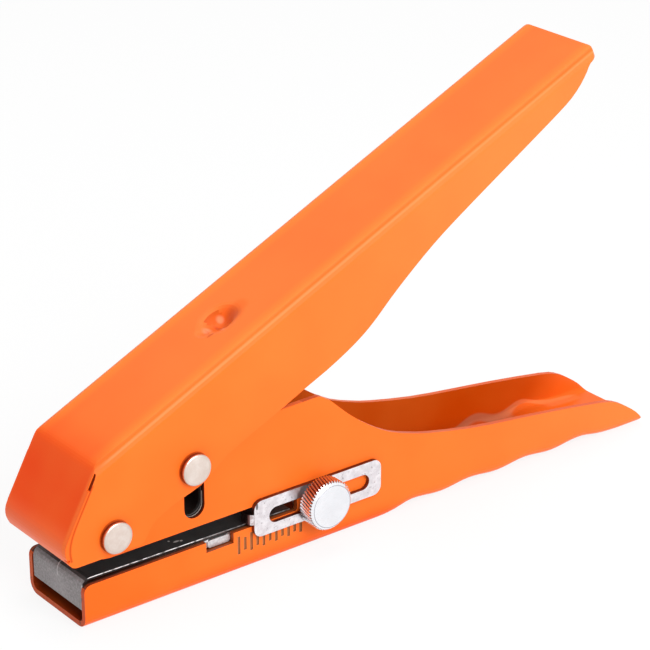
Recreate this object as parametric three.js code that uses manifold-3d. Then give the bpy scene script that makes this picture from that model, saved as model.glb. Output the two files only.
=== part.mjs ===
// Hand-held hole punch pliers with an adjustable edge stop.
// Millimetres, +Z up. X runs from the jaw's mouth to the handles' ends and Y runs across.
// Heights are measured from the flat base, and lengths from the front of the jaw.
// The finished group is moved so that the punch axis meets the base plane at the origin.

import * as THREE from 'three';
import { mergeVertices } from 'three/addons/utils/BufferGeometryUtils.js';
import Module from 'manifold-3d';

const wasm = await Module();
wasm.setup();

// Clearances and cutting allowances
const overrun = 3;
const seatGap = 0.1;
const runningGap = 0.3;
const pinGap = 0.15;

// Lower body: one pressed channel, open at the top, that makes the jaw, cheeks and lower grip
const bodyLength = 192.3;
const bodyWidth = 26;
const sheet = 1.5;
const foldRadius = 3.2;
const jawHeight = 12.35;
const jawCorner = 2;
const throatDepth = 66;
const throatCeiling = 18;
const throatFloor = 13.5;
const throatCorner = 0.8;
const cheekFront = 1.7;
const cheekFrontTop = 31.5;
const cheekFrontCorner = 6;
const cheekTop = 42.2;
const cheekTopFront = 14.5;
const cheekTopCorner = 4;
const earTop = 43.2;
const earSetback = 73.6;
const earCorner = 3.5;
const tailTip = 1.5;
const baseLength = 94;
const gripLift = 1.2;
const gripWave = 0.45;
const gripPitch = 20.4;
const gripStart = 106.5;
const gripEnd = 170;
const tailFlat = 184;
const gripStation = 2.04;

// Rear edge of the ear and lower grip: shares of the length behind the ear and of the ear's height
const rearEdgeShares = [
  [0.028, 0.949], [0.083, 0.808], [0.141, 0.688], [0.198, 0.597], [0.257, 0.537],
  [0.316, 0.491], [0.437, 0.423], [0.562, 0.376], [0.688, 0.333], [0.853, 0.266],
  [0.904, 0.228], [0.942, 0.170], [0.977, 0.100],
];

// Lever: front pivot, drive pin and the handle's two stopping angles above level
const pivotSetback = 8.3;
const pivotHeight = 24.8;
const leverArm = 26.5;
const openAngle = 25;
const closedAngle = 2;
const pivotPinRadius = 2;
const drivePinRadius = 1.6;
const slotBottom = 20.7;
const slotTop = 39.5;
const slotMargin = 0.3;
const guideSlotMargin = 0.2;
const rivetHeadRadius = 4.2;
const rivetHeadHeight = 2.1;
const rivetRim = 1.6;
const rivetCollarRadius = 3.4;
const rivetCollarHeight = 0.45;
const spacerWall = 1.2;

// Upper handle: one pressed channel, open at the bottom, drawn level with the pivot at its zero
const handleTop = 19.7;
const handleEnd = 182.4;
const handleFold = 2.8;
const handleEndCorner = 3;
const flapStart = 4.8;
const flapReach = 13.6;
const flapKneeHeight = 6.2;
const flapBottom = 1.9;
const flapTopBend = 6;
const flapKneeBend = 5.5;
const slitStart = -0.2;
const slitDepth = 0.5;
const slitWidth = 0.8;
const slitLength = 4.6;
const slitCorner = 0.3;
const cornerNotchBottom = 2.8;
const cornerNotchHeight = 0.7;
const cornerNotchDepth = 0.7;
const farEdgeSetback = 1.1;
const noseCorner = 2.6;
const noseRise = 0.6;
const chinSetback = 5.4;
const chinDrop = 8.2;
const chinCorner = 2.4;
const dimpleSetback = 56.4;
const dimpleLong = 6.6;
const dimpleWide = 5.8;
const dimpleDepth = 2.4;
const bossLong = 4;
const bossWide = 3.6;
const lobeSetback = 51.6;
const lobeRadius = 3.1;
const lobeDepth = 0.9;

// Lower edge of the handle's sides behind the chin: shares of the handle's length from the
// pivot and of its top's height above the pivot
const skirtShares = [
  [0.040, -0.355], [0.056, -0.272], [0.078, -0.248], [0.110, -0.262], [0.143, -0.298],
  [0.170, -0.258], [0.197, -0.203], [0.247, -0.202], [0.300, -0.212], [0.350, -0.209],
  [0.390, -0.216], [0.430, -0.200], [0.462, -0.165], [0.490, -0.105], [0.515, -0.030],
  [0.540, 0.042], [0.580, 0.140], [0.625, 0.234], [0.673, 0.305], [0.748, 0.390],
  [0.850, 0.501], [0.902, 0.561], [0.930, 0.608], [0.953, 0.690], [0.970, 0.785],
  [0.981, 0.860], [1.000, 0.875],
];

// Throat plate: thin sheet on the jaw that falls a little to the rear, bent down at both ends
const plateSheet = 0.8;
const plateFront = 0.2;
const plateFall = 1;
const plateFlapBottom = 4.9;
const plateFrontBend = 2.8;
const plateRearBend = 2;
const plateHoleMargin = 0.8;

// Die block across the jaw, with a lug in a notch of each wall
const dieThickness = 2.1;
const dieFront = 26;
const dieRear = 47;
const lugFront = 38.2;
const lugRear = 45.2;
const lugCorner = 0.8;
const lugRecess = 1.2;
const notchAhead = 1.3;
const notchBehind = 0.3;

// Punch
const punchRadius = 3;
const punchTip = 18.6;
const punchNotch = 0.7;
const holderBottom = 30.4;
const holderTop = 40.6;
const holderWall = 2.4;
const holderSocket = 2.9;
const liftGap = 0.25;

// Guide frame: channel between the cheeks that guides the punch and strips the sheet
const guideSheet = 1.2;
const guideFold = 2;
const guideFront = 3.2;
const guideFrontTop = 31;
const guideFrontCorner = 5.5;
const guideTop = 41;
const guideTopFront = 16;
const guideTopRear = 42;
const guideBehindSpring = 6.5;
const guideRearTop = 30;
const guideCorner = 3;

// Return spring and its seat
const springSetback = 58;
const springWire = 1.4;
const springMeanRadius = 4.9;
const springTurns = 10;
const springEndGap = 0.5;
const springStandOff = 0.15;
const seatFlange = 5.7;
const seatFlangeThickness = 0.8;
const seatSpigot = 3.6;
const seatSpigotHeight = 5;
const seatTail = 1.8;
const seatChamfer = 0.6;

// Edge stop, its clamping screw and the scale beside it
const stopSheet = 1.2;
const stopFrontMargin = 4.8;
const stopRearMargin = 4;
const stopBottom = 9.35;
const stopTop = 19.75;
const stopCorner = 2.5;
const stopSlotAhead = 16.2;
const stopSlotBehind = 16.9;
const stopSlotWidth = 4.5;
const tongueProud = 1.2;
const tongueReach = 3;
const tongueGap = 0.5;
const tongueHeight = 2.95;
const tongueBend = 1.9;
const tongueRoot = 2.5;
const screwBehindThroat = 6.2;
const screwHeight = 14.3;
const screwRadius = 2;
const knobRadius = 7;
const knobThickness = 4.8;
const knobChamfer = 1;
const knurlDepth = 0.6;
const washerRadius = 4.5;
const washerThickness = 0.7;
const nutWidth = 8;
const nutThickness = 3.2;
const nutCorner = 0.6;
const screwTail = 0.4;
const markFromPunch = 13.6;
const markPitch = 2;
const markWidth = 0.8;
const markDepth = 0.3;
const markHeight = 8.2;
const markLong = 5.1;
const markShort = 3.6;

// Counts and angles
const arcSteps = 5;
const roundSteps = 32;
const wireSides = 5;
const curlSteps = 8;
const knurlTeeth = 48;
const knurlTurn = 12;
const knurlSteps = 1;
const markCount = 11;
const domeSteps = 5;
const dimpleRings = 7;
const edgeSpan = 2;
const mergeTolerance = 1e-4;
const slotFlat = 0.05;

// Values worked out from the sizes above
const radians = THREE.MathUtils.degToRad;
const halfBody = bodyWidth / 2;
const halfInner = halfBody - sheet;
const halfHandleInner = halfBody + runningGap;
const halfHandle = halfHandleInner + sheet;
const halfPlate = halfInner - runningGap;
const halfGuide = halfInner - runningGap;
const halfGuideInner = halfGuide - guideSheet;
const wallHeight = earTop + overrun;
const pinOpenX = pivotSetback + leverArm * Math.cos(radians(openAngle));
const pinOpenZ = pivotHeight + leverArm * Math.sin(radians(openAngle));
const pinClosedX = pivotSetback + leverArm * Math.cos(radians(closedAngle));
const punchAxis = (pinOpenX + pinClosedX) / 2;
const pinSwing = pinClosedX - pinOpenX;
const screwSetback = throatDepth + screwBehindThroat;
const stopSlotFront = screwSetback - stopSlotAhead;
const stopSlotRear = screwSetback + stopSlotBehind;
const stopFront = stopSlotFront - stopFrontMargin;
const stopRear = stopSlotRear + stopRearMargin;
const tongueFront = stopFront - tongueProud;
const markStart = punchAxis + markFromPunch;
const guideRear = springSetback + guideBehindSpring;
const slotWidth = pinSwing + 2 * (drivePinRadius + slotMargin);
const guideSlotWidth = slotWidth + 2 * guideSlotMargin;
const guideFloor = throatCeiling + runningGap;
const guideWebTop = guideFloor + guideSheet;
const floorAt = (x) => throatFloor - plateFall * (x / throatDepth);
const dieTop = floorAt(dieRear) - plateSheet - seatGap;
const dieBottom = dieTop - dieThickness;
const notchFloor = dieBottom - runningGap;
const flapSlope = (handleTop - flapKneeHeight) / (flapReach + flapStart);
const flapStretch = Math.hypot(1, flapSlope);
const stopInner = halfBody + seatGap;
const stopOuter = stopInner + stopSheet;
const stopSlotRadius = stopSlotWidth / 2;
const washerInner = stopOuter + seatGap;
const washerOuter = washerInner + washerThickness;
const knobBack = washerOuter + seatGap;
const knobFront = knobBack + knobThickness;
const nutOuter = halfInner - seatGap;
const nutInner = nutOuter - nutThickness;

// Turns a closed geometry into a solid for joining and cutting
function solidOf(geometry) {
  const bare = geometry.clone();
  bare.deleteAttribute('normal');
  bare.deleteAttribute('uv');
  const merged = mergeVertices(bare, mergeTolerance);
  const vertProperties = new Float32Array(merged.attributes.position.array);
  const triVerts = new Uint32Array(merged.index.array);
  let solid = new wasm.Manifold(new wasm.Mesh({ numProp: 3, vertProperties, triVerts }));
  if (solid.volume() < 0) {
    for (let i = 0; i < triVerts.length; i += 3) {
      const second = triVerts[i + 1];
      triVerts[i + 1] = triVerts[i + 2];
      triVerts[i + 2] = second;
    }
    solid = new wasm.Manifold(new wasm.Mesh({ numProp: 3, vertProperties, triVerts }));
  }
  return solid;
}

// Turns a solid back into a geometry with flat-shaded faces
function geometryOf(solid) {
  const mesh = solid.getMesh();
  const positions = new Float32Array((mesh.vertProperties.length / mesh.numProp) * 3);
  for (let i = 0; i < positions.length / 3; i += 1) {
    for (let k = 0; k < 3; k += 1) {
      positions[3 * i + k] = mesh.vertProperties[mesh.numProp * i + k];
    }
  }
  const geometry = new THREE.BufferGeometry();
  geometry.setAttribute('position', new THREE.BufferAttribute(positions, 3));
  geometry.setIndex(new THREE.BufferAttribute(new Uint32Array(mesh.triVerts), 1));
  geometry.computeVertexNormals();
  return geometry;
}

// Rounds the corners of a chain of points [x, y, radius]; a closed chain rounds all of them
function rounded(corners, closed = true) {
  const points = [];
  corners.forEach(([x, y, radius = 0], i) => {
    const corner = new THREE.Vector2(x, y);
    const inner = closed || (i > 0 && i < corners.length - 1);
    if (radius <= 0 || !inner) {
      points.push(corner);
      return;
    }
    const before = corners[(i + corners.length - 1) % corners.length];
    const after = corners[(i + 1) % corners.length];
    const back = new THREE.Vector2(before[0] - x, before[1] - y).normalize();
    const ahead = new THREE.Vector2(after[0] - x, after[1] - y).normalize();
    const halfTurn = Math.acos(THREE.MathUtils.clamp(back.dot(ahead), -1, 1)) / 2;
    const run = radius / Math.tan(halfTurn);
    const middle = back.clone().add(ahead).normalize();
    const centre = corner.clone().addScaledVector(middle, radius / Math.sin(halfTurn));
    const from = corner.clone().addScaledVector(back, run).sub(centre);
    const to = corner.clone().addScaledVector(ahead, run).sub(centre);
    const start = from.angle();
    let sweep = to.angle() - start;
    sweep -= 2 * Math.PI * Math.round(sweep / (2 * Math.PI));
    for (let k = 0; k <= arcSteps; k += 1) {
      const angle = start + (sweep * k) / arcSteps;
      points.push(new THREE.Vector2(Math.cos(angle), Math.sin(angle)).multiplyScalar(radius).add(centre));
    }
  });
  return points;
}

// Outline of a bent sheet: the chain is its outer face, and the sheet lies on the chain's left
function bentSheet(corners, thickness) {
  const offset = corners.map(([x, y, radius = 0], i) => {
    const before = corners[Math.max(i - 1, 0)];
    const after = corners[Math.min(i + 1, corners.length - 1)];
    const arriving = i > 0 ? [x - before[0], y - before[1]] : [after[0] - x, after[1] - y];
    const leaving = i < corners.length - 1 ? [after[0] - x, after[1] - y] : arriving;
    const first = new THREE.Vector2(-arriving[1], arriving[0]).normalize();
    const second = new THREE.Vector2(-leaving[1], leaving[0]).normalize();
    const reach = thickness / (1 + first.dot(second));
    const turn = arriving[0] * leaving[1] - arriving[1] * leaving[0];
    const bend = radius - Math.sign(turn) * thickness;
    return [x + reach * (first.x + second.x), y + reach * (first.y + second.y), radius > 0 ? bend : 0];
  });
  return [...rounded(corners, false), ...rounded(offset, false).reverse()];
}

// Extrusions of an outline across, upwards and along the object
function acrossY(outline, from, to, holes = []) {
  const shape = new THREE.Shape(outline);
  shape.holes.push(...holes.map((hole) => new THREE.Path(hole)));
  const geometry = new THREE.ExtrudeGeometry(shape, { depth: to - from, bevelEnabled: false });
  geometry.rotateX(Math.PI / 2);
  geometry.translate(0, to, 0);
  return solidOf(geometry);
}

function upZ(outline, from, to, holes = []) {
  const shape = new THREE.Shape(outline);
  shape.holes.push(...holes.map((hole) => new THREE.Path(hole)));
  const geometry = new THREE.ExtrudeGeometry(shape, { depth: to - from, bevelEnabled: false });
  geometry.translate(0, 0, from);
  return solidOf(geometry);
}

// Runs an outline in Y and Z along the given stations in X, lifted at each by a height function
function alongX(outline, stations, lift = () => 0) {
  const layers = stations.length - 1;
  const options = { depth: layers, steps: layers, bevelEnabled: false };
  const geometry = new THREE.ExtrudeGeometry(new THREE.Shape(outline), options);
  const axes = [new THREE.Vector3(0, 1, 0), new THREE.Vector3(0, 0, 1), new THREE.Vector3(1, 0, 0)];
  geometry.applyMatrix4(new THREE.Matrix4().makeBasis(...axes));
  const position = geometry.attributes.position;
  for (let i = 0; i < position.count; i += 1) {
    const x = stations[Math.round(position.getX(i))];
    position.setX(i, x);
    position.setZ(i, position.getZ(i) + lift(x));
  }
  return solidOf(geometry);
}

// A round bar along Y or Z, and a turned piece on either axis
function barY(radius, x, z, from, to, steps = roundSteps) {
  const geometry = new THREE.CylinderGeometry(radius, radius, to - from, steps);
  geometry.translate(x, (from + to) / 2, z);
  return solidOf(geometry);
}

function barZ(radius, x, y, from, to, steps = roundSteps) {
  const geometry = new THREE.CylinderGeometry(radius, radius, to - from, steps);
  geometry.rotateX(Math.PI / 2);
  geometry.translate(x, y, (from + to) / 2);
  return solidOf(geometry);
}

function turned(profile, steps = roundSteps) {
  const points = profile.map(([radius, height]) => new THREE.Vector2(radius, height));
  return solidOf(new THREE.LatheGeometry(points, steps));
}

function block(x0, x1, y0, y1, z0, z1) {
  const geometry = new THREE.BoxGeometry(x1 - x0, y1 - y0, z1 - z0);
  geometry.translate((x0 + x1) / 2, (y0 + y1) / 2, (z0 + z1) / 2);
  return solidOf(geometry);
}

function circle(x, z, radius, steps = roundSteps) {
  return Array.from({ length: steps }, (_, i) => {
    const angle = (2 * Math.PI * i) / steps;
    return new THREE.Vector2(x + radius * Math.cos(angle), z + radius * Math.sin(angle));
  });
}

// A slot with round ends, as the outline of a box whose corners meet
function slotOutline(x0, x1, z0, z1) {
  const radius = Math.min(x1 - x0, z1 - z0) / 2 - slotFlat;
  return rounded([[x0, z0, radius], [x1, z0, radius], [x1, z1, radius], [x0, z1, radius]]);
}

// Section of a channel in Y and Z with its web at the given height and its walls to one side
function channelOutline(half, thickness, fold, web, wallEnd) {
  const side = Math.sign(wallEnd - web);
  const inner = half - thickness;
  const innerWeb = web + side * thickness;
  return rounded([
    [-half, wallEnd], [-half, web, fold], [half, web, fold], [half, wallEnd],
    [inner, wallEnd], [inner, innerWeb, fold - thickness],
    [-inner, innerWeb, fold - thickness], [-inner, wallEnd],
  ]);
}

// A smooth line through points, sampled between them
function smooth(points, perSpan) {
  const curve = new THREE.SplineCurve(points.map(([x, y]) => new THREE.Vector2(x, y)));
  return curve.getPoints((points.length - 1) * perSpan);
}

// Height of the lower grip's web above the base plane: flat base, finger waves, level tail
function gripRise(x) {
  const rise = THREE.MathUtils.smoothstep(x, baseLength, gripStart);
  const fall = 1 - THREE.MathUtils.smoothstep(x, gripEnd, tailFlat);
  const wave = gripLift + gripWave * Math.cos((2 * Math.PI * (x - gripStart)) / gripPitch);
  return wave * rise * fall;
}

function driveSlot(width, bottom) {
  return slotOutline(punchAxis - width / 2, punchAxis + width / 2, bottom, slotTop);
}

// The pressed lower body, with throat, die notches, pivot holes, drive slots and scale
function lowerBody() {
  const stations = [-overrun, baseLength];
  for (let x = baseLength + gripStation; x < bodyLength + overrun; x += gripStation) {
    stations.push(x);
  }
  stations.push(bodyLength + overrun);
  const channel = alongX(channelOutline(halfBody, sheet, foldRadius, 0, wallHeight), stations, gripRise);

  const behindEar = bodyLength - earSetback;
  const rear = rearEdgeShares.map(([along, up]) => [earSetback + along * behindEar, up * earTop]);
  rear.push([bodyLength, tailTip]);
  const rearPoints = smooth(rear, edgeSpan).map((point) => [point.x, point.y]).reverse();
  const profile = rounded([
    [0, -overrun],
    [bodyLength, -overrun],
    ...rearPoints,
    [earSetback, earTop, earCorner],
    [cheekTopFront, cheekTop, cheekTopCorner],
    [cheekFront, cheekFrontTop, cheekTopCorner],
    [cheekFront, throatCeiling, cheekFrontCorner],
    [throatDepth, throatCeiling, throatCorner],
    [throatDepth, jawHeight, throatCorner],
    [lugRear + notchBehind, jawHeight],
    [lugRear + notchBehind, notchFloor],
    [lugFront - notchAhead, notchFloor],
    [lugFront - notchAhead, jawHeight],
    [0, jawHeight, jawCorner],
  ]);
  const holes = [
    circle(pivotSetback, pivotHeight, pivotPinRadius + pinGap),
    driveSlot(slotWidth, slotBottom),
  ];
  const reach = halfBody + overrun;
  let body = channel.intersect(acrossY(profile, -reach, reach, holes));
  body = body.subtract(barY(screwRadius + runningGap, screwSetback, screwHeight, -reach, 0));
  for (let i = 0; i < markCount; i += 1) {
    const x = markStart + i * markPitch;
    const length = i % 2 === 0 ? markLong : markShort;
    const low = markHeight - length / 2;
    const high = markHeight + length / 2;
    const groove = block(x - markWidth / 2, x + markWidth / 2, -reach, markDepth - halfBody, low, high);
    body = body.subtract(groove);
  }
  return body;
}

// The black channel between the cheeks
function guideFrame() {
  const section = channelOutline(halfGuide, guideSheet, guideFold, guideFloor, wallHeight);
  const channel = alongX(section, [guideFront - overrun, guideRear + overrun]);
  const profile = rounded([
    [guideFront, guideFloor - overrun, 0],
    [guideRear, guideFloor - overrun, 0],
    [guideRear, guideRearTop, guideCorner],
    [guideTopRear, guideTop, guideCorner],
    [guideTopFront, guideTop, guideCorner],
    [guideFront, guideFrontTop, guideCorner],
  ]);
  const holes = [
    circle(pivotSetback, pivotHeight, pivotPinRadius + pinGap),
    driveSlot(guideSlotWidth, slotBottom + guideSlotMargin),
  ];
  const reach = halfBody + overrun;
  const top = guideWebTop + overrun;
  return channel
    .intersect(acrossY(profile, -reach, reach, holes))
    .subtract(barZ(punchRadius + pinGap, punchAxis, 0, guideFloor - overrun, top))
    .subtract(barZ(seatTail + pinGap, springSetback, 0, guideFloor - overrun, top));
}

// The thin plate that the sheet slides in on
function throatPlate() {
  const outline = bentSheet([
    [throatDepth + seatGap, foldRadius + seatGap],
    [throatDepth + seatGap, floorAt(throatDepth), plateRearBend],
    [plateFront, throatFloor, plateFrontBend],
    [plateFront, plateFlapBottom],
  ], plateSheet);
  const hole = barZ(punchRadius + plateHoleMargin, punchAxis, 0, dieTop, throatFloor + overrun);
  return acrossY(outline, -halfPlate, halfPlate).subtract(hole);
}

// The hardened block with the die hole
function dieBlock() {
  const lug = rounded([
    [lugFront, dieBottom, lugCorner], [lugRear, dieBottom, lugCorner],
    [lugRear, dieTop, lugCorner], [lugFront, dieTop, lugCorner],
  ]);
  const lugEnd = halfBody - lugRecess;
  return block(dieFront, dieRear, -halfPlate, halfPlate, dieBottom, dieTop)
    .add(acrossY(lug, -lugEnd, lugEnd))
    .subtract(barZ(punchRadius + pinGap, punchAxis, 0, dieBottom - overrun, dieTop + overrun));
}

// The sliding block that the drive pin carries up and down
function punchHolder() {
  const halfLength = pinSwing / 2 + drivePinRadius + runningGap + holderWall;
  const halfSlotLength = halfLength - holderWall;
  const halfSlotHeight = drivePinRadius + liftGap;
  const half = halfGuideInner - runningGap;
  const slot = slotOutline(
    punchAxis - halfSlotLength,
    punchAxis + halfSlotLength,
    pinOpenZ - halfSlotHeight,
    pinOpenZ + halfSlotHeight,
  );
  const socketTop = holderBottom + holderSocket;
  const socket = barZ(punchRadius + pinGap, punchAxis, 0, holderBottom - overrun, socketTop);
  return block(punchAxis - halfLength, punchAxis + halfLength, -half, half, holderBottom, holderTop)
    .subtract(acrossY(slot, -halfBody, halfBody))
    .subtract(socket);
}

// The round punch, with a shallow notch across its cutting end
function punchPin() {
  const end = [
    new THREE.Vector2(punchAxis - punchRadius - seatGap, punchTip - overrun),
    new THREE.Vector2(punchAxis + punchRadius + seatGap, punchTip - overrun),
    new THREE.Vector2(punchAxis + punchRadius + seatGap, punchTip),
    new THREE.Vector2(punchAxis, punchTip + punchNotch),
    new THREE.Vector2(punchAxis - punchRadius - seatGap, punchTip),
  ];
  const top = holderBottom + holderSocket - pinGap;
  return barZ(punchRadius, punchAxis, 0, punchTip - seatGap, top)
    .subtract(acrossY(end, -halfBody, halfBody));
}

// A rivet across the object, with a low domed head on a short collar at each end
function rivet(shank) {
  const face = halfHandle + seatGap;
  const crown = rivetHeadHeight - rivetRim;
  const dome = [];
  for (let i = 0; i <= domeSteps; i += 1) {
    const angle = (Math.PI / 2) * (i / domeSteps);
    dome.push([rivetHeadRadius * Math.cos(angle), face + rivetRim + crown * Math.sin(angle)]);
  }
  dome[domeSteps][0] = 0;
  const underside = face + rivetCollarHeight;
  const half = [
    [shank, face], [rivetCollarRadius, face], [rivetCollarRadius, underside],
    [rivetHeadRadius, underside], ...dome,
  ];
  const mirrored = half.map(([radius, height]) => [radius, -height]).reverse();
  return turned([...mirrored, ...half]);
}

// The tube that holds the cheeks apart at the pivot
function pivotSpacer() {
  const inner = pivotPinRadius + pinGap;
  const outer = inner + spacerWall;
  const end = halfGuideInner - seatGap;
  return turned([[inner, -end], [outer, -end], [outer, end], [inner, end], [inner, -end]]);
}

// The flanged stud that centres the spring on the guide frame
function springSeat() {
  const flangeBottom = guideWebTop + seatGap;
  const flangeTop = flangeBottom + seatFlangeThickness;
  const top = flangeTop + seatSpigotHeight;
  return turned([
    [0, guideFloor + seatGap],
    [seatTail, guideFloor + seatGap],
    [seatTail, flangeBottom],
    [seatFlange, flangeBottom],
    [seatFlange, flangeTop],
    [seatSpigot, flangeTop],
    [seatSpigot, top - seatChamfer],
    [seatSpigot - seatChamfer, top],
    [0, top],
  ]);
}

// A place given in the handle's own level frame, as it stands when the handle is open
function handlePoint(along, up) {
  const angle = radians(openAngle);
  return new THREE.Vector3(
    pivotSetback + along * Math.cos(angle) - up * Math.sin(angle),
    0,
    pivotHeight + along * Math.sin(angle) + up * Math.cos(angle),
  );
}

// Height along the spring at a share of its winding: close turns at the ends, open between
function springRise(share, length) {
  const closePitch = springWire + springEndGap;
  const turns = share * springTurns;
  const openPitch = (length - 2 * closePitch) / (springTurns - 2);
  const low = Math.min(turns, 1) * closePitch;
  const open = THREE.MathUtils.clamp(turns - 1, 0, springTurns - 2) * openPitch;
  const high = Math.max(turns - (springTurns - 1), 0) * closePitch;
  return (low + open + high) / length;
}

// The coil, wound round a line that bends from the seat's axis to the handle's
function returnSpring() {
  const clear = springWire / 2 + springStandOff;
  const foot = new THREE.Vector3(springSetback, 0, guideWebTop + seatGap + seatFlangeThickness + clear);
  const head = handlePoint(dimpleSetback, handleTop - sheet - clear);
  const up = new THREE.Vector3(0, 0, 1);
  const lean = handlePoint(0, 1).sub(handlePoint(0, 0));
  const pull = foot.distanceTo(head) / 3;
  const line = new THREE.CubicBezierCurve3(
    foot,
    foot.clone().addScaledVector(up, pull),
    head.clone().addScaledVector(lean, -pull),
    head,
  );
  const length = line.getLength();
  const across = new THREE.Vector3(0, 1, 0);
  const steps = springTurns * curlSteps;
  const middles = [];
  const outwards = [];
  for (let i = 0; i <= steps; i += 1) {
    const share = i / steps;
    const place = THREE.MathUtils.clamp(springRise(share, length), 0, 1);
    const along = line.getTangentAt(place);
    const side = new THREE.Vector3().crossVectors(across, along);
    const angle = 2 * Math.PI * springTurns * share;
    const outward = side.multiplyScalar(Math.cos(angle)).addScaledVector(across, Math.sin(angle));
    outwards.push(outward);
    middles.push(line.getPointAt(place).addScaledVector(outward, springMeanRadius));
  }
  let least = Infinity;
  for (let i = 0; i <= steps; i += 1) {
    for (let k = i + curlSteps / 2; k <= steps; k += 1) {
      least = Math.min(least, middles[i].distanceTo(middles[k]) - springWire);
    }
  }
  console.log(`least gap between the spring's turns: ${least.toFixed(2)} mm`);
  return solidOf(wireTube(middles, outwards, springWire / 2));
}

// A closed tube of five sides along points, turned by the outward directions given
function wireTube(middles, outwards, radius) {
  const positions = [];
  const faces = [];
  const last = middles.length - 1;
  middles.forEach((middle, i) => {
    const ahead = middles[Math.min(i + 1, last)].clone().sub(middles[Math.max(i - 1, 0)]).normalize();
    const outward = outwards[i].clone().addScaledVector(ahead, -outwards[i].dot(ahead)).normalize();
    const third = new THREE.Vector3().crossVectors(ahead, outward);
    for (let k = 0; k < wireSides; k += 1) {
      const angle = (2 * Math.PI * k) / wireSides;
      const point = middle.clone().addScaledVector(outward, radius * Math.cos(angle));
      point.addScaledVector(third, radius * Math.sin(angle));
      positions.push(point.x, point.y, point.z);
    }
  });
  for (let i = 0; i < last; i += 1) {
    for (let k = 0; k < wireSides; k += 1) {
      const a = i * wireSides + k;
      const b = i * wireSides + ((k + 1) % wireSides);
      faces.push(a, b, b + wireSides, a, b + wireSides, a + wireSides);
    }
  }
  for (let k = 1; k < wireSides - 1; k += 1) {
    const end = last * wireSides;
    faces.push(0, k + 1, k, end, end + k, end + k + 1);
  }
  const geometry = new THREE.BufferGeometry();
  geometry.setAttribute('position', new THREE.Float32BufferAttribute(positions, 3));
  geometry.setIndex(faces);
  return geometry;
}

// The pressed upper handle, in its own level frame with the pivot at zero
function upperHandle() {
  const reach = halfHandle + overrun;
  const ends = [-flapReach - overrun, handleEnd + overrun];
  const skirt = skirtShares.map(([along, up]) => [along * handleEnd, up * handleTop]);
  const skirtPoints = smooth([[chinSetback, -chinDrop], ...skirt], edgeSpan)
    .slice(1)
    .map((point) => [point.x, point.y]);
  const profile = rounded([
    [flapStart, handleTop, flapTopBend],
    [-flapReach, flapKneeHeight, flapKneeBend],
    [-flapReach, noseRise, noseCorner],
    [chinSetback, -chinDrop, chinCorner],
    ...skirtPoints,
    [handleEnd, handleTop - sheet],
    [handleEnd, handleTop],
  ]);
  const holes = [
    circle(0, 0, pivotPinRadius + pinGap),
    circle(leverArm, 0, drivePinRadius + pinGap),
  ];
  const plan = rounded([
    [-flapReach - overrun, -halfHandle], [handleEnd, -halfHandle, handleEndCorner],
    [handleEnd, halfHandle, handleEndCorner], [-flapReach - overrun, halfHandle],
  ]);
  const blank = alongX(solidOutline(halfHandle, handleFold, handleTop), ends)
    .intersect(acrossY(profile, -reach, reach, holes))
    .intersect(upZ(plan, -handleTop - overrun, handleTop + overrun));

  const innerTop = handleTop - sheet;
  const hollow = rounded([
    [flapStart + (sheet * (flapStretch - 1)) / flapSlope, innerTop, flapTopBend - sheet],
    [sheet - flapReach, flapKneeHeight - sheet * (flapStretch - flapSlope), flapKneeBend - sheet],
    [sheet - flapReach, -handleTop],
    [handleEnd + overrun, -handleTop],
    [handleEnd + overrun, innerTop],
  ]);
  const room = alongX(solidOutline(halfHandleInner, handleFold - sheet, innerTop), ends)
    .intersect(acrossY(hollow, -reach, reach));
  return pressDimple(trimFlap(blank.subtract(room)));
}

// Full section in Y and Z under a rounded top, open at the bottom of the handle's own frame
function solidOutline(half, fold, top) {
  return rounded([[-half, -handleTop], [half, -handleTop], [half, top, fold], [-half, top, fold]]);
}

// Trims the folded front: a slit down each corner from the top bend, a raised lower edge, a small
// notch in the near corner, and the far wall's front edge set back
function trimFlap(handle) {
  const front = -flapReach - overrun;
  const inner = halfHandleInner;
  const reach = halfHandle + overrun;
  const edgeTop = handleTop + overrun;
  const slopeHeight = (along) => flapKneeHeight + (along + flapReach) * flapSlope;
  const slit = (setback) => {
    const place = (along, behind) => [
      slitStart + (along + behind * flapSlope) / flapStretch,
      slopeHeight(slitStart) + (along * flapSlope - behind) / flapStretch,
    ];
    const floor = setback + slitDepth;
    return rounded([
      [...place(0, -overrun), 0], [...place(slitLength, -overrun), 0],
      [...place(slitLength, floor), slitCorner], [...place(0, floor), slitCorner],
    ]);
  };
  const farEdge = rounded([
    [front, edgeTop],
    [front, -handleTop],
    [farEdgeSetback - flapReach, -handleTop],
    [farEdgeSetback - flapReach, flapKneeHeight - farEdgeSetback * (flapStretch - flapSlope), flapKneeBend],
    [flapStart + (overrun + farEdgeSetback * flapStretch) / flapSlope, edgeTop],
  ]);
  const notchEnd = cornerNotchDepth - flapReach;
  const notchTop = cornerNotchBottom + cornerNotchHeight;
  return handle
    .subtract(acrossY(farEdge, inner, reach))
    .subtract(block(front, sheet - flapReach, -inner, inner, -handleTop, flapBottom))
    .subtract(block(front, notchEnd, -reach, -inner, cornerNotchBottom, notchTop))
    .subtract(acrossY(slit(0), -reach, slitWidth - halfHandle))
    .subtract(acrossY(slit(farEdgeSetback), halfHandle - slitWidth, reach));
}

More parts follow.
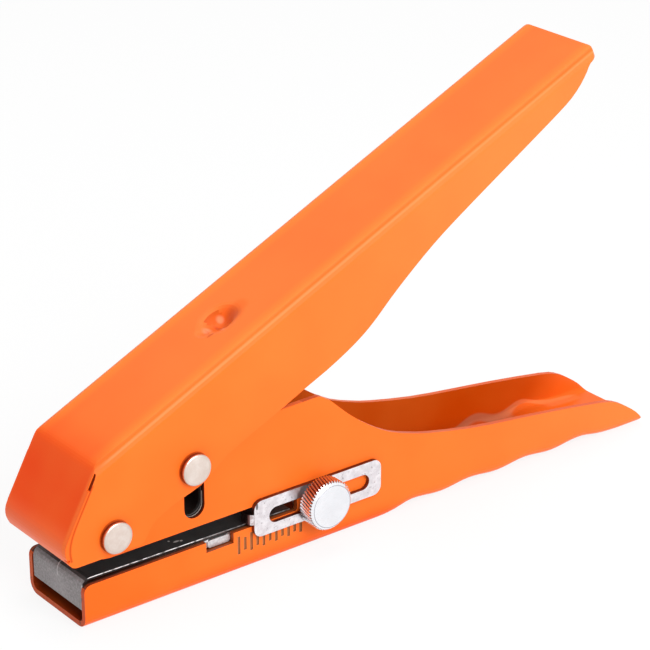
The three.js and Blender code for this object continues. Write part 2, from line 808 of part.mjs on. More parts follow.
// The oval dimple over the spring and the lobe beside it, pressed into the web with soft rims
function pressDimple(handle) {
  const pit = (along, long, wide, depth) => {
    const profile = [[0, -depth]];
    for (let i = 1; i <= dimpleRings; i += 1) {
      const share = i / dimpleRings;
      profile.push([share, -depth * (1 - THREE.MathUtils.smoothstep(share, 0, 1))]);
    }
    profile.push([1, overrun], [0, overrun]);
    const points = profile.map(([radius, height]) => new THREE.Vector2(radius, height));
    const geometry = new THREE.LatheGeometry(points, roundSteps);
    geometry.rotateX(Math.PI / 2);
    geometry.scale(long, wide, 1);
    geometry.translate(along, 0, handleTop);
    return solidOf(geometry);
  };
  const dome = new THREE.SphereGeometry(1, roundSteps / 2, roundSteps / 2);
  dome.scale(bossLong, bossWide, dimpleDepth + sheet);
  dome.translate(dimpleSetback, 0, handleTop);
  const below = block(0, handleEnd, -halfHandle, halfHandle, 0, handleTop - sheet / 2);
  return handle
    .add(solidOf(dome).intersect(below))
    .subtract(pit(dimpleSetback, dimpleLong, dimpleWide, dimpleDepth))
    .subtract(pit(lobeSetback, lobeRadius, lobeRadius, lobeDepth));
}

// The edge stop: a slotted plate with a tongue bent into the throat
function edgeStop() {
  const plate = rounded([
    [stopFront, stopBottom, stopCorner], [stopRear, stopBottom, stopCorner],
    [stopRear, stopTop, stopCorner], [stopFront, stopTop, stopCorner],
  ]);
  const slot = slotOutline(
    stopSlotFront,
    stopSlotRear,
    screwHeight - stopSlotRadius,
    screwHeight + stopSlotRadius,
  );
  const tongue = bentSheet([
    [stopFront + tongueRoot, -stopOuter],
    [tongueFront, -stopOuter, tongueBend],
    [tongueFront, tongueReach - halfBody],
  ].reverse(), stopSheet);
  const tongueBottom = floorAt(tongueFront) + tongueGap;
  return acrossY(plate, -stopOuter, -stopInner, [slot])
    .add(upZ(tongue, tongueBottom, tongueBottom + tongueHeight));
}

// The washer under the knob
function clampWasher() {
  const inner = screwRadius + pinGap;
  return turned([
    [inner, -washerOuter], [washerRadius, -washerOuter],
    [washerRadius, -washerInner], [inner, -washerInner], [inner, -washerOuter],
  ]);
}

// The knurled thumb screw, turned about its own axis
function thumbScrew() {
  const teeth = [];
  for (let i = 0; i < 2 * knurlTeeth; i += 1) {
    const angle = (Math.PI * i) / knurlTeeth;
    const radius = i % 2 === 0 ? knobRadius : knobRadius - knurlDepth;
    teeth.push(new THREE.Vector2(radius * Math.cos(angle), radius * Math.sin(angle)));
  }
  const options = { depth: knobThickness, steps: knurlSteps, bevelEnabled: false };
  const rim = new THREE.ExtrudeGeometry(new THREE.Shape(teeth), options);
  const position = rim.attributes.position;
  for (let i = 0; i < position.count; i += 1) {
    const point = new THREE.Vector2(position.getX(i), position.getY(i));
    const turn = radians(knurlTurn) * (position.getZ(i) / knobThickness);
    point.rotateAround(new THREE.Vector2(0, 0), turn);
    position.setXY(i, point.x, point.y);
  }
  rim.rotateX(Math.PI / 2);
  rim.translate(0, -knobBack, 0);
  const blank = turned([
    [0, -knobFront], [knobRadius - knobChamfer, -knobFront],
    [knobRadius, knobChamfer - knobFront], [knobRadius, -knobBack], [0, -knobBack],
  ]);
  const shank = barY(screwRadius, 0, 0, -knobBack - seatGap, screwTail - nutInner);
  return solidOf(rim).intersect(blank).add(shank);
}

// The square nut fixed inside the near wall
function clampNut() {
  const half = nutWidth / 2;
  const outline = rounded([
    [screwSetback - half, screwHeight - half, nutCorner],
    [screwSetback + half, screwHeight - half, nutCorner],
    [screwSetback + half, screwHeight + half, nutCorner],
    [screwSetback - half, screwHeight + half, nutCorner],
  ]);
  const bore = circle(screwSetback, screwHeight, screwRadius + pinGap);
  return acrossY(outline, -nutOuter, -nutInner, [bore]);
}

// Finishes
const finishes = {
  orange: { color: 0xff7a2a, roughness: 0.45, metalness: 0 },
  black: { color: 0x2a2826, roughness: 0.4, metalness: 0.6 },
  zinc: { color: 0xd9dade, roughness: 0.3, metalness: 1 },
  nickel: { color: 0xe6dfd8, roughness: 0.25, metalness: 1 },
  steel: { color: 0xb9babd, roughness: 0.35, metalness: 1 },
};

function piece(name, solid, finish) {
  const mesh = new THREE.Mesh(geometryOf(solid), new THREE.MeshStandardMaterial(finishes[finish]));
  mesh.name = name;
  return mesh;
}

function at(mesh, x, y, z) {
  mesh.position.set(x, y, z);
  return mesh;
}

const fixed = new THREE.Group();
fixed.add(
  piece('lower_body', lowerBody(), 'orange'),
  piece('guide_frame', guideFrame(), 'black'),
  piece('throat_plate', throatPlate(), 'black'),
  piece('die_block', dieBlock(), 'steel'),
  piece('clamp_nut', clampNut(), 'zinc'),
  at(piece('pivot_spacer', pivotSpacer(), 'steel'), pivotSetback, 0, pivotHeight),
  piece('return_spring', returnSpring(), 'steel'),
);
const seat = at(piece('spring_seat', springSeat(), 'steel'), springSetback, 0, 0);
seat.rotation.x = Math.PI / 2;
fixed.add(seat);

const lever = new THREE.Group();
lever.position.set(pivotSetback, 0, pivotHeight);
lever.rotation.y = -radians(openAngle);
lever.add(
  piece('upper_handle', upperHandle(), 'orange'),
  piece('pivot_rivet', rivet(pivotPinRadius), 'nickel'),
  at(piece('drive_rivet', rivet(drivePinRadius), 'nickel'), leverArm, 0, 0),
);

const punch = new THREE.Group();
punch.add(piece('punch_holder', punchHolder(), 'steel'), piece('punch_pin', punchPin(), 'steel'));

const stop = new THREE.Group();
stop.add(
  piece('edge_stop', edgeStop(), 'zinc'),
  at(piece('clamp_washer', clampWasher(), 'zinc'), screwSetback, 0, screwHeight),
  at(piece('thumb_screw', thumbScrew(), 'zinc'), screwSetback, 0, screwHeight),
);

const group = new THREE.Group();
group.add(fixed, lever, punch, stop);
group.position.x = -punchAxis;

export default group;
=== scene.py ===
import bpy
import math
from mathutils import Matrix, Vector


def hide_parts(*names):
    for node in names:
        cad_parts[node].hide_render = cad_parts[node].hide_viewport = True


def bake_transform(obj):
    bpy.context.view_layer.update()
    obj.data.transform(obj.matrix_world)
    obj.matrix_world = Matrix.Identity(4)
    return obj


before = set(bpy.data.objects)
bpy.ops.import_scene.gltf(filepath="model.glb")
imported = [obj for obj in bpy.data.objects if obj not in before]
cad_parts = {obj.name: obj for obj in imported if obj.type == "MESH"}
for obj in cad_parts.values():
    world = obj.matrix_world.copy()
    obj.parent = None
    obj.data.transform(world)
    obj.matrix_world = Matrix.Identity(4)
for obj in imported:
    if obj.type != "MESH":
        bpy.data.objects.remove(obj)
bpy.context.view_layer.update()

# Hole punch pliers: each piece's finish, finely rounded edges, a smoother copy of the return spring,
# and a pale studio. Places and sizes are in millimetres unless a line says otherwise

MM = 0.001

# Sizes and places that the solids have too. The punch's axis is at the origin, and the jaw's
# front end lies PUNCH_X in front of it
PUNCH_X = 33.5505
SHEET = 1.5
HALF_BODY = 13.0
BODY_INSIDE = HALF_BODY - SHEET
JAW_HEIGHT = 12.35
THROAT_DEPTH = 66.0
THROAT_CEILING = 18.0
SLOT_BOTTOM = 20.7
SLOT_TOP = 39.5
HALF_PLATE = 11.2
PLATE_TOP = 13.5
PLATE_FALL = 1.0 / THROAT_DEPTH
KNOB = Vector((38.65, -20.0, 14.3))
KNOB_RADIUS = 7.0
KNOB_FACE = 6.0

# The rivets' heads: their radius, and how far their rims stand from the middle plane
RIVET_HEAD = 4.2
RIVET_RIM = 15.9

# Stretches round the drive slots and the die's notches whose cut faces are painted
SLOT_FRONT = 28.0
SLOT_REAR = 39.5
NOTCH_FRONT = 36.0
NOTCH_REAR = 46.0
NOTCH_FLOOR = 9.0

# Height under which an upward face inside the body is painted as its web
WEB_LIMIT = 8.0

# The scale beside the edge stop, along the jaw and up from its base
MARK_FROM_PUNCH = 13.6
MARK_START = PUNCH_X + MARK_FROM_PUNCH
MARK_PITCH = 2.0
MARK_WIDTH = 0.8
MARK_HEIGHT = 8.2
MARK_SHORT = 3.6
MARK_LONG = 5.1
SCALE_FRONT = 46.4
SCALE_REAR = 69.0

# The upper handle, level and with its pivot at zero
PIVOT = Vector((-25.2505, 0.0, 24.8))
OPEN = math.radians(25.0)
LEVER_ARM = 26.5
HALF_HANDLE = 14.8
HANDLE_INSIDE = HALF_HANDLE - SHEET
HANDLE_TOP = 19.7
HANDLE_FOLD = 2.8
FLAP_START = 4.8
FLAP_REACH = 13.6
FLAP_KNEE = 6.2
FLAP_BOTTOM = 1.9
FLAP_SLOPE = (HANDLE_TOP - FLAP_KNEE) / (FLAP_REACH + FLAP_START)
FLAP_BEND = 7.5
DIMPLE = 56.4
DIMPLE_WIDE = 5.8

# Colours that several places or pieces share
SIDE_ORANGE = (0.94, 0.147, 0.014)
REAR_ORANGE = (0.95, 0.190, 0.037)
# The top's colour is the side's coat with painted sheen
TOP_SHEEN_ORANGE = (0.92, 0.165, 0.028)
# The flap's deeper orange, laid on it as painted shade, and also on the end of the top
FRONT_ORANGE = (0.84, 0.060, 0.0)
# Colours of painted shade: inner faces, edges and rims, and deeper recesses
INNER_SHADE_ORANGE = (0.54, 0.058, 0.0)
SHADE_RED = (0.42, 0.045, 0.006)
DEEP_SHADE_RED = (0.16, 0.018, 0.005)
BLACK_STEEL = (0.03, 0.028, 0.027)
WHITE = (1.0, 1.0, 1.0, 1.0)

# Colours of single places in the coat
CLOUD_ORANGE = (0.96, 0.30, 0.05)
SPECK_RED = (0.5, 0.08, 0.01)
NOSE_ORANGE = (0.88, 0.100, 0.006)
# Painted sheen, painted shade and painted highlight of the handle's folds
FOLD_SHEEN = (0.95, 0.30, 0.03)
FOLD_SHADE = (0.80, 0.128, 0.004)
FOLD_HIGHLIGHT = (1.0, 0.33, 0.12)
FLAP_FOOT_REFLECTION = (0.92, 0.20, 0.075)
LIT_LIP = (0.90, 0.105, 0.010)
FLAP_SEAM = (0.52, 0.042, 0.0)
SLIT_SHADOW = (0.12, 0.0, 0.0)
PIT_SHADE_ORANGE = (0.78, 0.085, 0.003)
BODY_FRONT = (0.92, 0.125, 0.008)
BODY_MIDDLE = (0.93, 0.150, 0.015)
BODY_REAR = (0.95, 0.185, 0.03)
BASE_SHADE_ORANGE = (0.82, 0.085, 0.003)
OPEN_REAR_SHADE = (0.84, 0.125, 0.008)
CHEEK_SHADOW = (0.05, 0.008, 0.004)
JAW_SHADE = (0.26, 0.018, 0.001)
BAND_HIGHLIGHT_BROWN = (0.44, 0.18, 0.10)
BAND_HIGHLIGHT_ORANGE = (0.90, 0.24, 0.08)
CUT_ORANGE = (0.64, 0.070, 0.003)
PLATE_SHADE = (0.03, 0.012, 0.008)
NICK_DARK = (0.05, 0.02, 0.01)
SLOT_SHADOW = (0.02, 0.008, 0.006)
GLINT = (0.80, 0.72, 0.68)
FRINGE_BROWN = (0.40, 0.17, 0.07)
DIRT_DARK = (0.12, 0.06, 0.03)
DIRT_BROWN = (0.26, 0.14, 0.07)

# Colours of single places on the steel pieces
FRAME_BLACK = (0.014, 0.013, 0.012)
FRAME_GREY = (0.030, 0.028, 0.026)
FRAME_WORN = (0.25, 0.24, 0.23)
CUT_DULL = (0.50, 0.49, 0.48)
CUT_BARE_GLINT = (0.85, 0.84, 0.83)
PLATE_SHADE_BLACK = (0.010, 0.009, 0.009)
PLATE_SHADE_GREY = (0.024, 0.021, 0.020)
PLATE_WORN = (0.3, 0.28, 0.27)
PLATE_NICK = (0.6, 0.57, 0.55)
BEND_DARK = (0.17, 0.155, 0.155)
BEND_GREY = (0.30, 0.275, 0.28)
BEND_PALE = (0.38, 0.35, 0.36)
SCRATCH = (0.62, 0.58, 0.58)
EDGE_DULL = (0.16, 0.15, 0.15)
EDGE_BRIGHT = (0.92, 0.92, 0.93)
EDGE_DARK = (0.06, 0.05, 0.05)
EDGE_SHADE_BLACK = (0.02, 0.012, 0.010)
STOP_EDGE_SHADE = (0.10, 0.02, 0.012)
STOP_SMUDGE = (0.34, 0.30, 0.31)
STOP_MARK = (0.10, 0.09, 0.10)
STOP_TONGUE_TONE = (0.30, 0.17, 0.15)
FACE_LINE = (0.40, 0.40, 0.46)
KNURL_SHADE = (0.035, 0.030, 0.035)
KNURL_SHADE_BROWN = (0.26, 0.10, 0.07)
KNURL_REFLECTION = (0.45, 0.24, 0.18)
HEAD_EDGE_SHADE = (0.62, 0.50, 0.44)
HEAD_RIM_SHADE = (0.16, 0.04, 0.02)

# Patterns of noise: scale, detail, roughness, and the levels at which a patch begins and is full
CLOUDS = (38.0, 2.0, 0.5, 0.3, 0.7)
SPECKS = (1500.0, 2.0, 0.6, 0.74, 0.8)
RIM_NICKS = (420.0, 3.0, 0.7, 0.60, 0.66)
FRAME_BLOTCHES = (260.0, 4.0, 0.65, 0.35, 0.7)
FRAME_WEAR = (1400.0, 3.0, 0.7, 0.70, 0.76)
PLATE_BLOTCHES = (240.0, 5.0, 0.7, 0.3, 0.72)
PLATE_WEAR = (1300.0, 3.0, 0.75, 0.70, 0.76)
BEND_FLECKS = (1500.0, 4.0, 0.8, 0.36, 0.64)
BEND_CLOUDS = (160.0, 3.0, 0.6, 0.4, 0.75)
EDGE_SPECKLE = (620.0, 3.0, 0.5, 0.36, 0.56)
SMUDGES = (1000.0, 3.0, 0.75, 0.60, 0.68)
TONGUE_PATCHES = (700.0, 3.0, 0.7, 0.40, 0.62)

# Where a change along the handle begins and where it is complete, from the pivot
HANDLE_PALER = (0.0, 170.0)
HANDLE_REDDER = (40.0, 5.0)
FOLD_LINES_BEGIN = (4.0, 10.0)
TOP_END = (15.0, 3.5)

# Where a change along the body begins and where it is complete, from the jaw's front end
MIDDLE_PALER = (-30.0, 80.0)
REAR_PALER = (100.0, 190.0)
BASE_BEGINS = (18.0, 40.0)
BASE_ENDS = (120.0, 90.0)
WALLS_OPEN = (166.0, 188.0)
WEB_OPENS = (148.0, 180.0)
JAW_DARKENS = (40.0, 20.0)
BAND_RISES_MORE = (176.0, 162.0)
BAND_SINKS = (166.0, 190.0)
BAND_BROADENS = (172.0, 158.0)
BAND_WARMS = (156.0, 172.0)

# Upward share of a face's direction where the coat's side colour ends and its top colour, the coat with
# painted sheen, begins
TURNS_UP = (0.35, 0.8)

# Depth of the surfaces' fine relief, in metres
RELIEF = 0.0002


class Look:
    """A material under construction, with short calls for its nodes."""

    def __init__(self, name, color, rough, metal=0.0, spec=0.5):
        self.mat = bpy.data.materials.new(name)
        self.mat.use_nodes = True
        self.tree = self.mat.node_tree
        self.bsdf = next(n for n in self.tree.nodes if n.type == "BSDF_PRINCIPLED")
        self.set("Base Color", (*color, 1.0))
        self.set("Roughness", rough)
        self.set("Metallic", metal)
        self.set("Specular IOR Level", spec)
        self.coords = self.tree.nodes.new("ShaderNodeTexCoord")
        self.place = self.coords.outputs["Object"]

    def set(self, key, value):
        self.bsdf.inputs[key].default_value = value

    def link(self, key, socket):
        self.tree.links.new(socket, self.bsdf.inputs[key])

    def add(self, kind, **inputs):
        """A new node with its inputs set or linked."""
        node = self.tree.nodes.new(kind)
        for key, value in inputs.items():
            self.plug(node, key, value)
        return node

    def plug(self, node, key, value):
        """Give one input of a node a value or a link."""
        socket = node.inputs[key]
        if isinstance(value, bpy.types.NodeSocket):
            self.tree.links.new(value, socket)
        else:
            socket.default_value = value

    def math(self, how, a, b=0.0, c=0.0):
        node = self.tree.nodes.new("ShaderNodeMath")
        node.operation = how
        for i, value in enumerate((a, b, c)):
            self.plug(node, i, value)
        return node.outputs[0]

    def less(self, value, amount):
        return self.math("SUBTRACT", value, amount)

    def share(self, value, whole):
        return self.math("DIVIDE", value, whole)

    def size(self, value):
        return self.math("ABSOLUTE", value)

    def far(self, *parts):
        """Length of the way whose parts are given."""
        squares = [self.math("MULTIPLY", part, part) for part in parts]
        total = squares[0]
        for square in squares[1:]:
            total = self.math("ADD", total, square)
        return self.math("SQRT", total)

    def over(self, value, limit):
        return self.math("GREATER_THAN", value, limit)

    def under(self, value, limit):
        return self.math("LESS_THAN", value, limit)

    def ramp(self, value, low, high):
        """0 at low and 1 at high, with a soft way between them. High may be the smaller one."""
        node = self.add("ShaderNodeMapRange", Value=value)
        node.inputs["From Min"].default_value = low
        node.inputs["From Max"].default_value = high
        node.interpolation_type = "SMOOTHSTEP"
        return node.outputs["Result"]

    def span(self, value, low, high):
        """Low where the value is 0 and high where it is 1."""
        node = self.add("ShaderNodeMapRange", Value=value)
        node.inputs["To Min"].default_value = low
        node.inputs["To Max"].default_value = high
        return node.outputs["Result"]

    def within(self, value, low, high, soft=0.05):
        """1 between low and high, with soft ends."""
        return self.all(self.ramp(value, low - soft, low), self.ramp(value, high + soft, high))

    def all(self, *masks):
        """1 where every mask is."""
        result = masks[0]
        for mask in masks[1:]:
            result = self.math("MULTIPLY", result, mask)
        return result

    def any(self, *masks):
        """1 where at least one mask is."""
        result = masks[0]
        for mask in masks[1:]:
            result = self.math("MAXIMUM", result, mask)
        return result

    def noise(self, scale, detail=3.0, rough=0.5, vector=None):
        node = self.add("ShaderNodeTexNoise", Scale=scale, Detail=detail, Roughness=rough,
                        Vector=vector or self.place)
        return node.outputs["Fac"]

    def patches(self, scale, detail, rough, low, high):
        """Noise pushed apart into patches: 0 below low and 1 above high."""
        return self.ramp(self.noise(scale, detail, rough), low, high)

    def mix(self, fac, a, b):
        """Colour a where fac is 0 and b where it is 1."""
        node = self.tree.nodes.new("ShaderNodeMix")
        node.data_type = "RGBA"
        self.plug(node, 0, fac)
        for i, value in ((6, a), (7, b)):
            if not isinstance(value, bpy.types.NodeSocket):
                value = (*value, 1.0)
            self.plug(node, i, value)
        return node.outputs[2]

    def lay(self, color, tone, mask, share=1.0):
        """The colour with a share of the tone laid over it where the mask is 1."""
        return self.mix(self.math("MULTIPLY", mask, share), color, tone)

    def split(self, vector):
        return self.add("ShaderNodeSeparateXYZ", Vector=vector).outputs

    def bump(self, height, strength):
        node = self.add("ShaderNodeBump", Height=height, Strength=strength, Distance=RELIEF)
        self.tree.links.new(node.outputs["Normal"], self.bsdf.inputs["Normal"])


class Spot:
    """A place on the object and the direction in which its face looks there."""

    def __init__(self, look):
        scaled = look.tree.nodes.new("ShaderNodeVectorMath")
        scaled.operation = "SCALE"
        look.plug(scaled, 0, look.place)
        scaled.inputs["Scale"].default_value = 1.0 / MM
        self.x, self.y, self.z = look.split(scaled.outputs["Vector"])
        self.nx, self.ny, self.nz = look.split(look.coords.outputs["Normal"])
        self.jaw_x = look.math("ADD", self.x, PUNCH_X)
        self.wide = look.size(self.y)
        self.sideways = look.size(self.ny)
        self.outward = look.math("MULTIPLY", self.ny, look.math("SIGN", self.y))


class HandleSpot(Spot):
    """A spot that is also seen in the handle's own level frame: u along it, v above the pivot."""

    def __init__(self, look):
        super().__init__(look)
        self.u, self.v = levelled(look, look.less(self.x, PIVOT.x), look.less(self.z, PIVOT.z))
        self.nu, self.nv = levelled(look, self.nx, self.nz)


def levelled(look, x, z):
    """Turn a place or direction back by the angle at which the handle stands open."""
    c, s = math.cos(OPEN), math.sin(OPEN)
    along = look.math("ADD", look.math("MULTIPLY", x, c), look.math("MULTIPLY", z, s))
    above = look.less(look.math("MULTIPLY", z, c), look.math("MULTIPLY", x, s))
    return along, above


# Coat
def powder_coat(name):
    """Smooth orange powder coat with a faint orange peel."""
    look = Look(name, SIDE_ORANGE, 0.36, spec=0.12)
    look.link("Roughness", look.span(look.noise(90.0, 3.0), 0.30, 0.42))
    look.bump(look.noise(900.0, 2.0, 0.5), 0.05)
    return look


def clouded(look, color):
    """The coat's colour with soft paler clouds and a few small dark specks."""
    color = look.lay(color, CLOUD_ORANGE, look.patches(*CLOUDS), 0.12)
    return look.lay(color, SPECK_RED, look.patches(*SPECKS), 0.2)


def handle_coat():
    """The upper handle's coat, with its folds, seams and slits, and painted light and shade on its
    faces, folds, flap, inside, round its rivets and in its dimple.
    """
    look = powder_coat("orange_coat_handle")
    at = HandleSpot(look)
    color = handle_faces(look, at)
    color = handle_folds(look, at, color)
    color = handle_flap(look, at, color)
    color = flap_corners(look, at, color)
    # Painted shade: the inner faces take the deeper inner orange
    color = look.mix(handle_inside(look, at), color, INNER_SHADE_ORANGE)
    color = rivet_shades(look, at, color)
    color = dimple_shades(look, at, color)
    look.link("Base Color", clouded(look, color))
    return look.mat


def handle_faces(look, at):
    """Sides that turn paler towards the rear, and a top in the colour with painted sheen that turns
    redder towards the flap.
    """
    rear, nose = look.ramp(at.u, *HANDLE_PALER), look.ramp(at.u, *HANDLE_REDDER)
    side = look.mix(rear, SIDE_ORANGE, REAR_ORANGE)
    top = look.lay(TOP_SHEEN_ORANGE, NOSE_ORANGE, nose, 0.5)
    return look.mix(look.ramp(at.nv, *TURNS_UP), side, top)


def handle_folds(look, at, color):
    """Painted sheen on the top beside each fold, and along the fold itself a line of painted shade and a
    line of painted highlight.
    """
    straight = look.under(look.size(at.nu), 0.35)
    fold_sheen = look.all(look.over(at.nv, 0.9), straight,
                         look.ramp(at.wide, HALF_HANDLE - 6.3, HALF_HANDLE - 2.6))
    color = look.lay(color, FOLD_SHEEN, fold_sheen, 0.3)
    on_fold = look.all(look.ramp(at.u, *FOLD_LINES_BEGIN), straight,
                       look.over(at.wide, HALF_HANDLE - HANDLE_FOLD))
    climbed = look.share(look.less(at.v, HANDLE_TOP - HANDLE_FOLD), HANDLE_FOLD)
    fold_shade_line = look.all(look.within(climbed, 0.84, 0.87, 0.05), on_fold)
    color = look.lay(color, FOLD_SHADE, fold_shade_line, 0.6)
    fold_highlight_line = look.all(look.within(climbed, 0.66, 0.70, 0.10), on_fold)
    return look.lay(color, FOLD_HIGHLIGHT, fold_highlight_line, 0.36)


def handle_flap(look, at, color):
    """The flap in a deeper orange as painted shade, paler at its foot as a painted reflection of the
    floor, and the redder end of the top above it.
    """
    top_end = look.all(look.ramp(at.u, *TOP_END), look.over(at.nv, 0.8),
                       look.ramp(at.wide, HALF_HANDLE - 0.9, HALF_HANDLE - 2.4))
    color = look.lay(color, FRONT_ORANGE, top_end, 0.5)
    # Painted shade: the flap takes the deeper front orange, most fully low down
    front = look.all(look.ramp(at.nu, -0.1, -0.4),
                     look.ramp(at.wide, HALF_HANDLE - 1.2, HALF_HANDLE - 2.2))
    redder_down = look.span(look.ramp(at.v, HANDLE_TOP + 0.1, HANDLE_TOP - 5.7), 0.5, 1.0)
    color = look.lay(color, FRONT_ORANGE, look.all(front, redder_down))
    # Painted reflection of the pale floor at the flap's foot
    foot = look.all(front, look.ramp(at.v, FLAP_KNEE + 4.3, FLAP_KNEE - 1.2))
    return look.lay(color, FLAP_FOOT_REFLECTION, foot, 0.6)


def behind_flap(look, at):
    """Distance behind the flap's outer face, which is sloped above its knee and upright below."""
    upright = look.math("ADD", at.u, FLAP_REACH)
    line = look.math("MULTIPLY_ADD", upright, FLAP_SLOPE, FLAP_KNEE)
    sloped = look.share(look.less(line, at.v), math.hypot(1.0, FLAP_SLOPE))
    return look.math("SMOOTH_MIN", sloped, upright, FLAP_BEND)


def flap_corners(look, at, color):
    """Where the flap meets the handle's sides: a paler lip painted as the light that the edge catches,
    the seam behind it, and the slit above, its faces painted dark as shadow.
    """
    behind = behind_flap(look, at)
    corner = look.all(look.over(at.wide, HALF_HANDLE - 0.35),
                      look.within(at.v, FLAP_BOTTOM + 0.7, HANDLE_TOP - 3.5, 0.5))
    # Painted light: the lip along the corner is paler
    lip = look.all(look.ramp(behind, 0.60, 0.44), corner)
    color = look.lay(color, LIT_LIP, lip, 0.55)
    seam = look.all(look.within(behind, 0.46, 0.80, 0.18), corner)
    color = look.lay(color, FLAP_SEAM, seam, 0.9)
    # Painted shadow: the slit's faces are laid in near-black red
    slit_wall = look.any(look.under(at.nu, -0.3),
                         look.all(look.over(at.sideways, 0.85), look.under(at.wide, HALF_HANDLE - 0.65)))
    slit = look.all(slit_wall, look.within(at.wide, HALF_HANDLE - 0.95, HALF_HANDLE - 0.04, 0.02),
                    look.within(behind, 0.30, 2.2),
                    look.within(at.v, HANDLE_TOP - 4.3, HANDLE_TOP - 0.4))
    return look.lay(color, SLIT_SHADOW, slit, 0.97)


def handle_inside(look, at):
    """1 on the inner faces of the handle's sides and top."""
    walls = look.all(look.under(at.outward, -0.4), look.under(at.wide, HANDLE_INSIDE + 0.1))
    ceiling = look.all(look.under(at.nv, -0.3), look.under(at.wide, HANDLE_INSIDE - 0.3),
                       look.over(at.v, HANDLE_TOP - 7.7))
    return look.any(walls, ceiling)


def rivet_shades(look, at, color):
    """A thin ring of painted shadow round the head of the pivot rivet and of the drive rivet."""
    for along in (0.0, LEVER_ARM):
        ring = look.far(look.less(at.u, along), at.v)
        shade = look.all(look.ramp(ring, RIVET_HEAD + 0.4, RIVET_HEAD),
                         look.over(at.wide, HALF_HANDLE - 0.2))
        color = look.lay(color, SHADE_RED, shade, 0.8)
    return color


def dimple_shades(look, at, color):
    """The dimple's deeper colour as painted shade, with soft spots of painted shade and painted
    highlight in it.
    """
    pit = look.all(look.ramp(at.v, HANDLE_TOP - 0.2, HANDLE_TOP - 1.6), look.over(at.nv, 0.1),
                   look.under(at.wide, DIMPLE_WIDE + 0.7),
                   look.within(at.u, DIMPLE - 9.0, DIMPLE + 7.0))
    color = look.lay(color, PIT_SHADE_ORANGE, pit, 0.8)
    # Spot tones: painted shade, painted highlight and a middle tint
    spot_shade, pale, tint = (0.52, 0.035, 0.001), (1.0, 0.30, 0.16), (0.82, 0.115, 0.010)
    near_dimple = look.over(look.far(at.u, at.y), DIMPLE - 8.0)
    # Place along and across from the dimple's middle, half sizes, share and colour
    spots = ((3.8, -1.6, 3.0, 3.2, 0.6, spot_shade), (6.8, -1.2, 2.2, 2.6, 0.7, tint),
             (-1.5, -0.9, 0.7, 2.4, 0.8, spot_shade), (-5.1, -3.0, 1.4, 0.5, 0.7, spot_shade),
             (1.0, 1.5, 1.1, 1.3, 0.7, pale), (-1.5, -3.3, 0.8, 1.5, 0.6, pale),
             (-4.2, 0.2, 1.2, 1.6, 0.6, pale))
    for along, across, long, broad, share, tone in spots:
        away = look.far(look.share(look.less(at.u, DIMPLE + along), long),
                        look.share(look.less(at.y, across), broad))
        color = look.lay(color, tone, look.all(look.ramp(away, 1.25, 0.35), near_dimple), share)
    return color


def body_coat():
    """The lower body's coat: painted shade and light inside, on the jaw's edges and in its cuts, nicks
    at the jaw's rim, and a filled scale.
    """
    look = powder_coat("orange_coat_body")
    at = Spot(look)
    color = body_faces(look, at)
    color = body_inside(look, at, color)
    color = jaw_shades_and_nicks(look, at, color)
    color = cut_face_shades(look, at, color)
    color = scale_marks(look, at, color)
    look.link("Base Color", clouded(look, color))
    return look.mat


def body_faces(look, at):
    """Outer sides that turn paler in two steps towards the rear, with painted shade along the base, and
    tops in the colour with painted sheen.
    """
    middle, rear = look.ramp(at.jaw_x, *MIDDLE_PALER), look.ramp(at.jaw_x, *REAR_PALER)
    side = look.mix(rear, look.mix(middle, BODY_FRONT, BODY_MIDDLE), BODY_REAR)
    # Painted shade low on the sides, along the base
    base_top, base_full = 6.0, 0.8
    base = look.all(look.ramp(at.z, base_top, base_full), look.ramp(at.jaw_x, *BASE_BEGINS),
                    look.ramp(at.jaw_x, *BASE_ENDS))
    side = look.lay(side, BASE_SHADE_ORANGE, base, 0.85)
    return look.mix(look.ramp(at.nz, *TURNS_UP), side, TOP_SHEEN_ORANGE)


def body_inside(look, at, color):
    """The channel's inner faces in painted shade, lighter towards the open rear, darkest in the jaw and
    low between the cheeks, and its cut tops.
    """
    walls = look.all(look.under(at.outward, -0.3), look.under(at.wide, BODY_INSIDE + 0.1))
    web = look.all(look.over(at.nz, 0.3), look.under(at.wide, BODY_INSIDE - 0.05),
                   look.under(at.z, WEB_LIMIT))
    inner = look.any(walls, web)
    # Painted shade on the inner faces, lighter where the channel opens at the rear
    open_rear = look.any(look.ramp(at.jaw_x, *WALLS_OPEN),
                         look.all(web, look.ramp(at.jaw_x, *WEB_OPENS)))
    color = look.mix(inner, color, look.mix(open_rear, INNER_SHADE_ORANGE, OPEN_REAR_SHADE))
    # Painted shadow low between the cheeks
    dark_front, dark_rear, dark_fade = 58.0, 74.0, 18.0
    dark_top, dark_full = 21.0, 16.0
    shadow_between_cheeks = look.all(inner, look.within(at.jaw_x, dark_front, dark_rear, dark_fade),
                              look.ramp(at.z, dark_top, dark_full))
    color = look.lay(color, CHEEK_SHADOW, shadow_between_cheeks)
    # Painted shade inside the jaw
    shade_in_jaw = look.all(inner, look.ramp(at.jaw_x, *JAW_DARKENS), look.under(at.z, JAW_HEIGHT - 1.35))
    color = look.lay(color, JAW_SHADE, shade_in_jaw)
    color = grip_highlight(look, at, color, inner)
    cut_top = look.all(look.over(at.nz, 0.3), look.over(at.wide, BODY_INSIDE - 0.05),
                       look.over(at.jaw_x, THROAT_DEPTH + 2.0))
    return look.lay(color, CUT_ORANGE, cut_top, 0.7)


